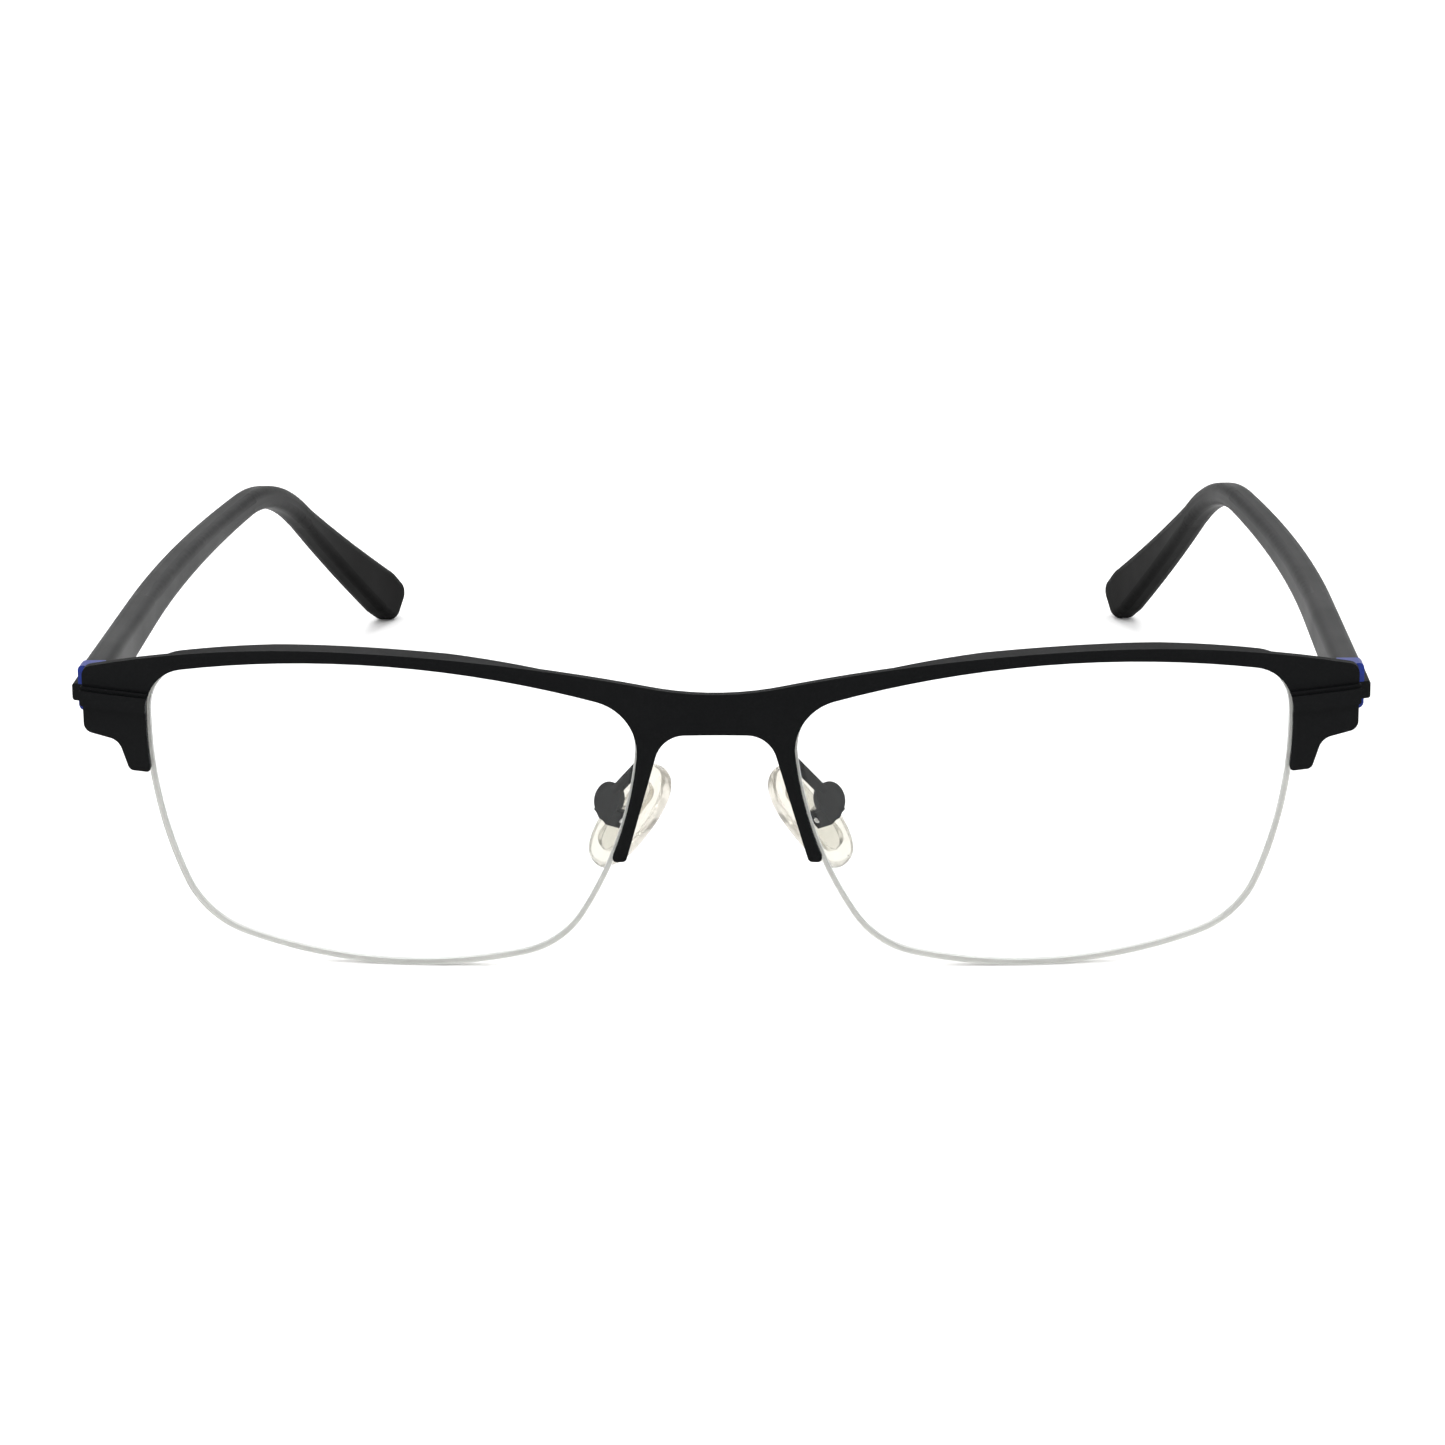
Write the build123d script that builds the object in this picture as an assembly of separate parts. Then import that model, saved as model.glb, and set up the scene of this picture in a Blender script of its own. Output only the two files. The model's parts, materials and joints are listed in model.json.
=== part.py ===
"""Half rim eyeglasses: a flat sheet front with a cord held lower lens edge.

All lengths are in millimetres and all angles in degrees.  The front is drawn
upright: X runs to the side, Y runs back from the bridge, Z is up, and Z = 0
is the level of the lens centres.  Depths are measured back from the curved
front face of the sheet.  At the end everything is leaned forward by the stand
angle and moved so that the two lens bottoms and the two temple tips stand on
Z = 0, with the origin under the middle of the outer box.
"""
from build123d import *
import math
import os

os.makedirs("parts", exist_ok=True)

# ---- driving dimensions -------------------------------------------------
lens_width = 54.4          # between the crowns of the two side arcs of a lens
lens_height = 35.4         # boxed height of one lens
bridge_width = 15.8        # between the crowns of the two inner side arcs
temple_length = 140.0      # from the hinge pin to the tip, along the temple
temple_splay = 1.26        # the temples lean in a little from the hinge
face_radius = 125.0        # curve of the lenses and of the front sheet
wrap_angle = 4.5           # how far each lens turns round the face
stand_lean = 2.6           # the front leans forward when it stands on a table
temple_slope = 3.4         # the temples run down from the square to the front

# ---- sheet and section sizes --------------------------------------------
sheet_thickness = 0.8
lens_gap = 0.15            # air between the sheet and the lens face
lens_thickness = 1.8
lens_cover = 0.35          # the sheet hides this much of the lens edge
edge_gap = 0.08            # air between the lens edge and the rim channel
channel_height = 0.9       # from the lens edge to the outside of the channel
channel_back = 2.6         # depth of the back of the channel
groove_width = 0.6
groove_depth = 0.5
cord_gap = 0.03            # air round the cord and the liner in the groove
rim_step = 0.12            # the channel stays this far inside the sheet
rim_end = 0.6              # the channel stops this far short of the sheet
cord_anchor = 2.2          # the cord runs this far up into the channel
liner_gap = 0.2            # from the end of the cord to the end of the liner
fit_gap = 0.03             # air between pieces that are pushed together

# ---- lens outline: four large arcs and four corners ----------------------
top_radius, top_shift = 93.0, 4.9
temporal_radius, temporal_rise = 48.8, 9.3
bottom_radius, bottom_shift = 61.5, -1.0
nasal_radius, nasal_rise = 43.7, 11.6
corner_top_out, corner_low_out = 5.4, 10.3
corner_low_in, corner_top_in = 10.3, 6.4

# ---- front sheet outline, measured from the lens crowns and the lens top ---
inner_crown = bridge_width / 2
outer_crown = inner_crown + lens_width
lens_top = lens_height / 2
bridge_half = inner_crown + 0.6     # the bridge curve meets the eye curve here
bridge_top = lens_top - 4.05
bridge_underside = lens_top - 8.5
brow_crest_x, brow_crest_z = outer_crown - 20.8, lens_top + 0.9
brow_inner_radius, brow_outer_radius = 145.0, 100.0
end_x = outer_crown + 6.9
end_low, end_low_slope = lens_top - 10.1, 0.147
lug_root_x = outer_crown + 2.9
lug_tip_x, lug_tip_z = outer_crown + 1.8, lens_top - 13.95
nose_slope = 0.287         # sideways run of the nasal arm per unit of drop
nose_line_x = inner_crown + 0.55    # the nose side of the nasal arm at lens centre level
nasal_tip_z = lens_top - 22.7
nasal_tip_end_x = inner_crown + 4.7
end_top_corner, end_low_corner = 1.3, 1.0
lug_root_corner, lug_tip_corner = 1.6, 0.7
rim_tip_corner, bridge_corner = 0.5, 3.2
rim_line_outer, rim_line_inner = 6.0, 4.0   # the line through the rim ends runs on this far
rim_line_drop = 1.0                         # and this much lower on the nose side

# ---- raised bars ------------------------------------------------------------
bar_low, bar_high = lens_top - 7.1, lens_top - 5.0
bar_inner_x, bar_outer_x = outer_crown - 1.5, outer_crown + 7.1
bar_proud, bar_bevel = 0.75, 0.4
bar_corner = 0.25

# ---- hinge -------------------------------------------------------------------
hinge_x, hinge_z = outer_crown + 3.2, lens_top - 5.7
hinge_behind = 2.30          # from the back of the sheet to the middle of the pin
barrel_radius = 1.3
barrel_half_height = 2.35
knuckle_half_height = 0.85
knuckle_gap, knuckle_relief = 0.06, 0.3
pin_radius, pin_gap = 0.55, 0.03
screw_head_radius, screw_head_height = 1.0, 0.4
screw_slot_width, screw_slot_depth = 0.3, 0.2
screw_tail = 0.2           # the screw shows this far below the lower barrel
stop_gap = 0.12            # between the temple end and the back of the sheet

# ---- temple --------------------------------------------------------------------
end_block_inner = 1.5
end_block_half_height = 2.5
end_block_front = -4.0     # drawn this far ahead of the pin, then cut back to the sheet
end_block_back = 1.4
end_block_corner = 0.6
link_front, link_root = 0.2, 0.6    # the link between the knuckle and the end block
tongue_length, tongue_half_width, tongue_half_height = 16.0, 0.6, 1.1
tongue_root = 0.5          # the tongue starts this far inside the end block
arm_start = end_block_back + fit_gap
arm_mid_x, arm_thickness = 2.7, 3.2
arm_root_height, arm_bend_height = 4.9, 2.9
bow_start, bow_radius, bow_angle = 30.0, 340.0, 18.5
bend_start = temple_length - 59.0   # where the bend over the ear starts
bend_radius, bend_angle = 35.5, 33.1
paddle_length, paddle_half_height = 36.0, 2.9
paddle_blend = 12.0
paddle_top_corner, paddle_low_corner = 8.0, 6.0
paddle_low_drop = 0.4      # the lower edge of the paddle hangs this much lower
tip_top_run, tip_low_run = 5.0, 6.0         # the rounded end takes this much of each edge
tip_top_drop, tip_low_drop, tip_cut = 0.6, 0.2, 1.2
tip_top_corner, tip_low_corner = 1.9, 2.0
arm_round = 1.1
end_block_outer = arm_mid_x + arm_thickness / 2     # level with the face of the arm
temple_bar_half_height, temple_bar_drop = 0.95, 0.55
temple_bar_end, temple_bar_proud = 7.5, 0.75
temple_bar_tab, temple_bar_tab_end = 1.3, 0.6
temple_bar_corner = 0.3

# ---- nose pads -----------------------------------------------------------------
pad_pivot_x, pad_pivot_z = inner_crown + 3.5, -2.5
pad_pivot_behind = 9.07      # from the front face of the sheet to the pad screw
pad_splay, pad_frontal = 40.0, 36.0
pad_length, pad_width, pad_thickness = 13.3, 6.5, 2.4
pad_round, pad_end_flat = 0.9, 0.05
pivot_to_pad = 1.35        # from the pad screw to the back face of the pad
insert_length, insert_width, insert_thickness = 9.0, 3.0, 0.8
insert_corner = 1.2
tab_half_width, tab_reach = 0.55, 0.85
tab_gap, tab_end_gap = 0.08, 0.2    # air beside the tab and above it
cup_half_width, cup_half_length = 1.35, 1.0
cup_skirt = 0.7            # the two cheeks reach this far past the screw
disc_radius, disc_thickness = 1.9, 0.8
disc_rise, disc_side = 1.0, 0.75     # from the pad screw to the middle of the disc
disc_tip_radius = 1.15              # the disc narrows to this round the screw
pad_screw_radius, pad_screw_fit = 0.4, 0.02
pad_screw_head, pad_screw_head_height = 0.65, 0.3
pad_wire_radius = 0.62
pad_wire_x, pad_wire_z = inner_crown - 0.3, 5.6   # where the wire leaves the rim
pad_wire_root = 1.5        # the wire is drawn from this far inside the rim channel
pad_wire_knee_behind, pad_wire_knee_drop = 6.92, 0.8
pad_wire_bend = 1.5
pad_wire_on_disc = 0.6     # share of the disc radius where the wire lands

# ---- derived places ---------------------------------------------------------------
lens_x = bridge_width / 2 + lens_width / 2
eye_centre_x = lens_x - face_radius * math.sin(math.radians(wrap_angle))
bridge_angle = math.degrees(math.asin((eye_centre_x - bridge_half) / face_radius))
bridge_radius = bridge_half / math.sin(math.radians(bridge_angle))
eye_centre_y = (face_radius + bridge_radius) * math.cos(math.radians(bridge_angle)) - bridge_radius
shell_margin, shell_rise = 2.5, 5.6     # the shells reach past the bars, the brow and the lens
shell_reach = bar_outer_x + shell_margin - eye_centre_x
outer_angle = math.degrees(math.asin(shell_reach / (face_radius - channel_back - 1)))
outer_face = (face_radius - channel_back) * math.cos(math.radians(outer_angle))
turn_angle = math.degrees(math.asin((lens_top + shell_rise) / outer_face))
clear_front = 5.0          # cutters reach this far ahead of the sheet
far = 90.0                 # further than any outline reaches
lens_front = sheet_thickness + lens_gap
lens_back = lens_front + lens_thickness
groove_middle = (lens_front + lens_back) / 2


def front_y(x, z, depth):
    """How far back the curved front is at a place, at a depth behind its face."""
    reach = (face_radius - depth) ** 2 - (x - eye_centre_x) ** 2 - z ** 2
    return eye_centre_y - math.sqrt(reach)


hinge_y = front_y(hinge_x, hinge_z, sheet_thickness) + hinge_behind
pad_pivot_y = front_y(pad_pivot_x, pad_pivot_z, 0) + pad_pivot_behind
pad_wire_knee_y = front_y(pad_wire_x, pad_wire_z, 0) + pad_wire_knee_behind
pad_wire_start_y = front_y(pad_wire_x, pad_wire_z, channel_back) - pad_wire_root


# ---- curved shells ------------------------------------------------------------------
def eye_point(angle, depth):
    """A point of the eye curve in plan, at an angle round its centre."""
    reach = face_radius - depth
    turn = math.radians(angle)
    return (eye_centre_x + reach * math.sin(turn), eye_centre_y - reach * math.cos(turn))


def bridge_point(angle, depth):
    """A point of the bridge curve in plan, which bends the other way."""
    reach = bridge_radius + depth
    turn = math.radians(angle)
    return (reach * math.sin(turn), reach * math.cos(turn) - bridge_radius)


def plan_edge(depth):
    """The three tangent arcs of the front in plan, from left to right."""
    middle = (outer_angle - bridge_angle) / 2
    angles = (outer_angle, middle, -bridge_angle)
    right = [eye_point(angle, depth) for angle in angles]
    left = [(-x, y) for x, y in right]
    return (
        ThreePointArc(*left)
        + ThreePointArc(left[2], bridge_point(0, depth), right[2])
        + ThreePointArc(*reversed(right))
    )


def shell(front, back):
    """A curved shell between two depths, round a level axis behind the lenses."""
    near = plan_edge(front)
    far = plan_edge(back)
    ends = [Line(near @ end, far @ end) for end in (0, 1)]
    band = make_face(near.edges() + far.edges() + [side.edge() for side in ends])
    axis = Axis((0, eye_centre_y, 0), (1, 0, 0))
    band = band.rotate(axis, -turn_angle)
    return revolve(band, axis=axis, revolution_arc=2 * turn_angle)


def ahead_of(depth):
    """Everything from well in front of the sheet back to a depth behind its face."""
    return shell(-clear_front, depth)


def prism(outline):
    """The outline, drawn as seen from the front, carried through the front."""
    return extrude(Plane.XZ * outline, amount=far / 2, both=True)


# ---- outlines as seen from the front ------------------------------------------------
def near_corner(outline, x, z):
    """The corner of an outline that is nearest to a place."""
    return outline.vertices().sort_by_distance((x, z, 0))[0]


def rounded(outline, corners):
    """The outline with each listed corner (x, z, radius) rounded."""
    for x, z, radius in corners:
        outline = fillet(near_corner(outline, x, z), radius)
    return outline


def grown(amount):
    """The lens outline grown all round by an amount, or shrunk by a negative one."""
    top = lens_height / 2
    side = lens_width / 2
    outline = (
        Pos(top_shift, top - top_radius) * Circle(top_radius + amount)
        & Pos(side - temporal_radius, temporal_rise) * Circle(temporal_radius + amount)
        & Pos(bottom_shift, bottom_radius - top) * Circle(bottom_radius + amount)
        & Pos(nasal_radius - side, nasal_rise) * Circle(nasal_radius + amount)
    )
    outline = rounded(outline, [
        (side, top, corner_top_out + amount),
        (side, -top, corner_low_out + amount),
        (-side, -top, corner_low_in + amount),
        (-side, top, corner_top_in + amount),
    ])
    return Pos(lens_x, 0) * outline


def brow_arcs():
    """The top edge of the front sheet, from the middle out to the end piece."""
    crest = brow_crest_z
    inner_drop = brow_inner_radius - crest
    run = brow_crest_x ** 2 + (bridge_top + inner_drop) ** 2 - brow_inner_radius ** 2
    dip_radius = run / (2 * (crest - bridge_top))
    meet = math.asin(brow_crest_x / (dip_radius + brow_inner_radius))

    def dip(turn):
        return (dip_radius * math.sin(turn), bridge_top + dip_radius * (1 - math.cos(turn)))

    def brow(turn, radius):
        return (brow_crest_x - radius * math.sin(turn), crest - radius * (1 - math.cos(turn)))

    out = -math.asin((end_x - brow_crest_x) / brow_outer_radius)
    return [
        ThreePointArc(dip(0), dip(meet / 2), dip(meet)),
        ThreePointArc(brow(meet, brow_inner_radius), brow(meet / 2, brow_inner_radius),
                      (brow_crest_x, crest)),
        ThreePointArc((brow_crest_x, crest), brow(out / 2, brow_outer_radius),
                      brow(out, brow_outer_radius)),
    ]


def nose_x(z):
    """Where the nose side of the nasal arm is at a level."""
    return nose_line_x - nose_slope * z


def sheet_half():
    """The right half of the front sheet before the lens opening is cut."""
    top = brow_arcs()
    end_top = top[-1] @ 1
    lug_root_z = end_low - end_low_slope * (end_x - lug_root_x)
    lens_middle = lens_x - lens_width / 4
    points = [
        (end_top.X, end_top.Y),
        (end_x, end_low),
        (lug_root_x, lug_root_z),
        (lug_tip_x, lug_tip_z),
        (lens_middle + lens_width / 3, lug_tip_z),
        (nasal_tip_end_x, nasal_tip_z),
        (nose_x(nasal_tip_z), nasal_tip_z),
        (nose_x(bridge_underside), bridge_underside),
        (0, bridge_underside),
        (0, bridge_top),
    ]
    lines = [Line(a, b) for a, b in zip(points, points[1:])]
    return make_face([edge for part in top + lines for edge in part.edges()])


def sheet_outline():
    half = sheet_half() - grown(-lens_cover)
    half = rounded(half, [
        (end_x, lens_top, end_top_corner),
        (end_x, end_low, end_low_corner),
        (lug_root_x, end_low, lug_root_corner),
        (lug_tip_x, lug_tip_z, lug_tip_corner),
        (outer_crown - lens_cover, lug_tip_z, rim_tip_corner),
        (nasal_tip_end_x - 1, nasal_tip_z, rim_tip_corner),
        (nose_x(nasal_tip_z), nasal_tip_z, rim_tip_corner),
        (nose_x(bridge_underside), bridge_underside, bridge_corner),
    ])
    return half


def above_rim_ends(rise):
    """Everything above the line that joins the two ends of one rim."""
    outer = (outer_crown + rim_line_outer, lug_tip_z + rise)
    inner = (inner_crown - rim_line_inner, nasal_tip_z + rise - rim_line_drop)
    return make_face(Polyline(inner, outer, (outer[0], far), (inner[0], far), close=True).edges())


# ---- front pieces -----------------------------------------------------------------------
def front_plate():
    half = sheet_outline()
    return shell(0, sheet_thickness) & prism(half + mirror(half, about=Plane.YZ))


def rim_channel():
    section = grown(channel_height) - grown(edge_gap)
    section = section & offset(sheet_half(), -rim_step) & above_rim_ends(rim_end)
    groove = grown(groove_depth + cord_gap) - grown(-lens_cover)
    half_groove = groove_width / 2
    return (
        shell(sheet_thickness, channel_back) & prism(section)
    ) - (shell(groove_middle - half_groove, groove_middle + half_groove) & prism(groove))


def rim_liner():
    section = grown(groove_depth) - grown(cord_gap - groove_depth)
    section = section & offset(sheet_half(), -rim_step) & above_rim_ends(rim_end + cord_anchor + liner_gap)
    half = groove_width / 2 - cord_gap
    return shell(groove_middle - half, groove_middle + half) & prism(section)


def lens():
    groove = grown(channel_height) - grown(-groove_depth)
    half = groove_width / 2
    return (shell(lens_front, lens_back) & prism(grown(0))) - (
        shell(groove_middle - half, groove_middle + half) & prism(groove)
    )


def nylon_cord():
    half = groove_width / 2 - cord_gap
    bottom = cord_gap - groove_depth
    section = grown(bottom + 2 * half) - grown(bottom) - above_rim_ends(rim_end + cord_anchor)
    return shell(groove_middle - half, groove_middle + half) & prism(section)


def endpiece_bar():
    middle = (bar_low + bar_high) / 2
    size = (bar_outer_x - bar_inner_x, bar_high - bar_low)
    outline = Pos((bar_inner_x + bar_outer_x) / 2, middle) * Rectangle(*size)
    outline = fillet(outline.vertices(), bar_corner) - grown(-lens_cover)
    bar = shell(-bar_proud, 0) & prism(outline)
    upper = Pos(0, bar_high) * Rectangle(2 * far, 2 * bar_bevel)
    return bar - (shell(-2 * bar_proud, -bar_proud / 2) & prism(upper))


# ---- hinge --------------------------------------------------------------------------------
def hinge_cylinder(radius, low, high):
    """An upright cylinder round the hinge pin, between two levels from its middle."""
    height = high - low
    return Pos(hinge_x, hinge_y, hinge_z + (low + high) / 2) * Cylinder(radius, height)


def hinge_front():
    """Two barrels on a leaf that is fixed to the back of the sheet."""
    half = barrel_half_height
    leaf = Box(2 * barrel_radius, 2 * hinge_behind, 2 * half)
    body = Pos(hinge_x, hinge_y - hinge_behind, hinge_z) * leaf
    body += hinge_cylinder(barrel_radius, -half, half)
    body -= ahead_of(sheet_thickness)
    gap = knuckle_half_height + knuckle_gap
    body -= hinge_cylinder(barrel_radius + knuckle_relief, -gap, gap)
    return body - hinge_cylinder(pin_radius + pin_gap, -2 * half, 2 * half)


def hinge_screw():
    half = barrel_half_height
    head = hinge_cylinder(screw_head_radius, half, half + screw_head_height)
    slot = Box(3 * screw_head_radius, screw_slot_width, 2 * screw_slot_depth)
    head -= Pos(hinge_x, hinge_y, hinge_z + half + screw_head_height) * slot
    return head + hinge_cylinder(pin_radius, -half - screw_tail, half)


# ---- temple ----------------------------------------------------------------------------------
def on_temple(shape):
    """Carries a shape from the temple's own axes to its place on the hinge."""
    return Pos(hinge_x, hinge_y, hinge_z) * Rot(-temple_slope, 0, 0) * Rot(0, 0, temple_splay) * shape


def box_between(low, high):
    size = [b - a for a, b in zip(low, high)]
    middle = [(a + b) / 2 for a, b in zip(low, high)]
    return Pos(*middle) * Box(*size)


def temple_end():
    """The painted metal end: hinge knuckle, end block and the tongue in the arm."""
    half = end_block_half_height
    block = box_between((end_block_inner, end_block_front, -half),
                        (end_block_outer, end_block_back, half))
    outer = block.edges().filter_by(Axis.Y).sort_by(Axis.X)[-2:]
    block = fillet(outer, end_block_corner) - bar_tab(temple_bar_proud)
    tongue = box_between(
        (arm_mid_x - tongue_half_width, end_block_back - tongue_root, -tongue_half_height),
        (arm_mid_x + tongue_half_width, end_block_back + tongue_length, tongue_half_height),
    )
    end = on_temple(block + tongue) - ahead_of(sheet_thickness + stop_gap)
    link = box_between((0, link_front, -knuckle_half_height),
                       (end_block_inner + link_root, barrel_radius, knuckle_half_height))
    knuckle = hinge_cylinder(barrel_radius, -knuckle_half_height, knuckle_half_height)
    end = end + knuckle + Pos(hinge_x, hinge_y, hinge_z) * link
    return end - hinge_cylinder(pin_radius + pin_gap, -2 * half, 2 * half)


def bar_tab(grow):
    """The tab of the temple bar that is let into the front of the end block."""
    half = temple_bar_half_height
    return box_between(
        (end_block_outer - temple_bar_tab, end_block_front, -half - temple_bar_drop),
        (end_block_outer + grow, temple_bar_tab_end, half - temple_bar_drop),
    )


def temple_bar():
    """The raised bar on the outer face of the temple, with its tab at the front."""
    half = temple_bar_half_height
    bar = box_between(
        (end_block_outer, end_block_front, -half - temple_bar_drop),
        (end_block_outer + temple_bar_proud, temple_bar_end, half - temple_bar_drop),
    )
    outer = bar.faces().sort_by(Axis.X)[-1]
    edges = outer.edges().filter_by(Axis.Y) + outer.edges().sort_by(Axis.Y)[-1:]
    bar = fillet(edges, temple_bar_corner)
    return on_temple(bar + bar_tab(0)) - ahead_of(sheet_thickness + stop_gap)


def arm_plan():
    """The arm seen from above: straight, then bowed in towards the head."""
    half = arm_thickness / 2
    turn = math.radians(bow_angle)
    centre_x = arm_mid_x - bow_radius

    def at(angle, side):
        reach = bow_radius + side
        return (centre_x + reach * math.cos(angle), bow_start + reach * math.sin(angle))

    def beyond(side):
        x, y = at(turn, side)
        return (x - far * math.sin(turn), y + far * math.cos(turn))

    edges = [
        Line((arm_mid_x + half, arm_start), at(0, half)),
        ThreePointArc(at(0, half), at(turn / 2, half), at(turn, half)),
        Line(at(turn, half), beyond(half)),
        Line(beyond(half), beyond(-half)),
        Line(beyond(-half), at(turn, -half)),
        ThreePointArc(at(turn, -half), at(turn / 2, -half), at(0, -half)),
        Line(at(0, -half), (arm_mid_x - half, arm_start)),
        Line((arm_mid_x - half, arm_start), (arm_mid_x + half, arm_start)),
    ]
    return make_face([edge.edge() for edge in edges])


def arm_side():
    """The arm seen from the side, with the bend and the paddle at the tip."""
    turn = math.radians(bend_angle)
    half = arm_bend_height / 2
    taper = math.atan((arm_root_height / 2 - half) / (bend_start - arm_start))
    drop_length = temple_length - bend_start - bend_radius * turn

    def at(angle, side):
        reach = bend_radius + side
        return (bend_start + reach * math.sin(angle), reach * math.cos(angle) - bend_radius)

    def root(angle, side):
        y, z = at(angle, side)
        return (arm_start, z + (y - arm_start) * math.tan(angle))

    def down(distance, side):
        y, z = at(turn, side)
        return (y + distance * math.cos(turn), z - distance * math.sin(turn))

    paddle = drop_length - paddle_length
    tip = paddle_half_height
    points = [
        down(paddle, half),
        down(drop_length - tip_top_run, tip),
        down(drop_length, tip - tip_top_drop),
        down(drop_length - tip_cut, -tip - tip_low_drop),
        down(drop_length - tip_low_run, -tip - paddle_low_drop),
        down(paddle, -half),
    ]
    edges = [
        Line(root(taper, half), at(taper, half)),
        ThreePointArc(at(taper, half), at((taper + turn) / 2, half), at(turn, half)),
        Line(at(turn, half), points[0]),
        *[Line(a, b) for a, b in zip(points, points[1:])],
        Line(points[-1], at(turn, -half)),
        ThreePointArc(at(turn, -half), at((turn - taper) / 2, -half), at(-taper, -half)),
        Line(at(-taper, -half), root(-taper, -half)),
        Line(root(-taper, -half), root(taper, half)),
    ]
    outline = make_face([edge.edge() for edge in edges])
    radii = (paddle_blend, paddle_top_corner, tip_top_corner,
             tip_low_corner, paddle_low_corner, paddle_blend)
    return rounded(outline, [(*point, radius) for point, radius in zip(points, radii)])


def temple_arm():
    side = extrude(Plane.YZ * arm_side(), amount=far, both=True)
    plan = extrude(arm_plan(), amount=far, both=True)
    arm = side & plan
    lengthwise = 0.3
    long_edges = [edge for edge in arm.edges() if abs(edge.tangent_at(0.5).Y) > lengthwise]
    arm = fillet(long_edges, arm_round)
    half_width = tongue_half_width + fit_gap
    half_height = tongue_half_height + fit_gap
    pocket = box_between(
        (arm_mid_x - half_width, 0, -half_height),
        (arm_mid_x + half_width, end_block_back + tongue_length + fit_gap, half_height),
    )
    return on_temple(arm - pocket)


# ---- nose pads ---------------------------------------------------------------------------------
def pad_plane():
    """Axes at the pad screw: X along the screw, Y up the pad, Z away from the nose."""
    splay = math.radians(pad_splay)
    outward = Vector(math.cos(splay), -math.sin(splay), 0).rotate(Axis.Y, -pad_frontal)
    along = Vector(math.sin(splay), math.cos(splay), 0).rotate(Axis.Y, -pad_frontal)
    return Plane((pad_pivot_x, pad_pivot_y, pad_pivot_z), x_dir=along, z_dir=outward)


def nose_pad():
    outline = fillet(Rectangle(pad_width, pad_length).vertices(), pad_width / 2 - pad_end_flat)
    pad = extrude(outline, amount=-pad_thickness)
    pad = fillet(pad.edges().group_by(Axis.Z)[0], pad_round)
    pad = fillet(pad.edges().group_by(Axis.Z)[-1], pad_round / 2)
    pocket = insert_plate(fit_gap)
    return pad_plane() * (Pos(0, 0, -pivot_to_pad) * pad - pocket)


def insert_plate(gap):
    """The stiff plate in the back of the pad, or its pocket with air all round."""
    size = (insert_width + 2 * gap, insert_length + 2 * gap)
    outline = fillet(Rectangle(*size).vertices(), insert_corner)
    return Pos(0, 0, -pivot_to_pad) * extrude(outline, amount=-insert_thickness - gap)


def pad_insert():
    """The stiff plate in the back of the pad, with the tab that takes the screw."""
    neck = box_between((-tab_half_width, -tab_reach, -pivot_to_pad), (tab_half_width, tab_reach, 0))
    eye = Rot(0, 90, 0) * Cylinder(tab_reach, 2 * tab_half_width)
    hole = Rot(0, 90, 0) * Cylinder(pad_screw_radius + pin_gap, pad_width)
    return pad_plane() * (insert_plate(0) + neck + eye - hole)


def pad_arm():
    """The wire from the rim to the nose pad, with its disc and the screw cup."""
    cheek_end = tab_reach + tab_end_gap
    top = cheek_end + disc_thickness
    rings = Circle(disc_tip_radius).edges() + (Pos(disc_side, disc_rise) * Circle(disc_radius)).edges()
    leaf = Pos(0, 0, cheek_end) * extrude(make_hull(rings), amount=disc_thickness)
    cheeks = box_between((-cup_half_width, -cup_half_length, -cup_skirt),
                         (cup_half_width, cup_half_length, top))
    slot_half = tab_half_width + tab_gap
    slot = box_between((-slot_half, -pad_width, -pad_width), (slot_half, pad_width, cheek_end))
    hole = Rot(0, 90, 0) * Cylinder(pad_screw_radius + pad_screw_fit, pad_width)
    cup = pad_plane() * (leaf + cheeks - slot - hole)
    disc_top = pad_plane().from_local_coords(
        Vector(disc_side, disc_rise + disc_radius * pad_wire_on_disc, top - disc_thickness / 2))
    start = Vector(pad_wire_x, pad_wire_start_y, pad_wire_z)
    knee = Vector(pad_wire_x, pad_wire_knee_y, pad_wire_z - pad_wire_knee_drop)
    route = FilletPolyline(start, knee, disc_top, radius=pad_wire_bend)
    section = Plane(origin=start, z_dir=knee - start) * Circle(pad_wire_radius)
    wire = sweep(section, path=route) - ahead_of(channel_back)
    return cup + wire


def pad_screw():
    half = cup_half_width
    height = pad_screw_head_height
    shank = Rot(0, 90, 0) * Cylinder(pad_screw_radius, 2 * half)
    head = Pos(-half - height / 2, 0, 0) * Rot(0, 90, 0) * Cylinder(pad_screw_head, height)
    return pad_plane() * (shank + head)


# ---- assembly -------------------------------------------------------------------------------------
SIDED = {
    "rim_channel": rim_channel,
    "rim_liner": rim_liner,
    "lens": lens,
    "nylon_cord": nylon_cord,
    "endpiece_bar": endpiece_bar,
    "hinge_front": hinge_front,
    "hinge_screw": hinge_screw,
    "pad_arm": pad_arm,
    "pad_screw": pad_screw,
    "nose_pad": nose_pad,
    "pad_insert": pad_insert,
    "temple_end": temple_end,
    "temple_bar": temple_bar,
    "temple_arm": temple_arm,
}


def build():
    shapes = {"front_plate": front_plate()}
    for name, make in SIDED.items():
        right = make()
        shapes[name + "_right"] = right
        shapes[name + "_left"] = mirror(right, about=Plane.YZ)
    return shapes


def standing(shapes):
    """The move that stands the glasses on their lens bottoms and temple tips."""
    leaned = Compound(children=[Rot(stand_lean, 0, 0) * shape for shape in shapes.values()])
    box = leaned.bounding_box()
    return Pos(0, -(box.min.Y + box.max.Y) / 2, -box.min.Z) * Rot(stand_lean, 0, 0)


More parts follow.
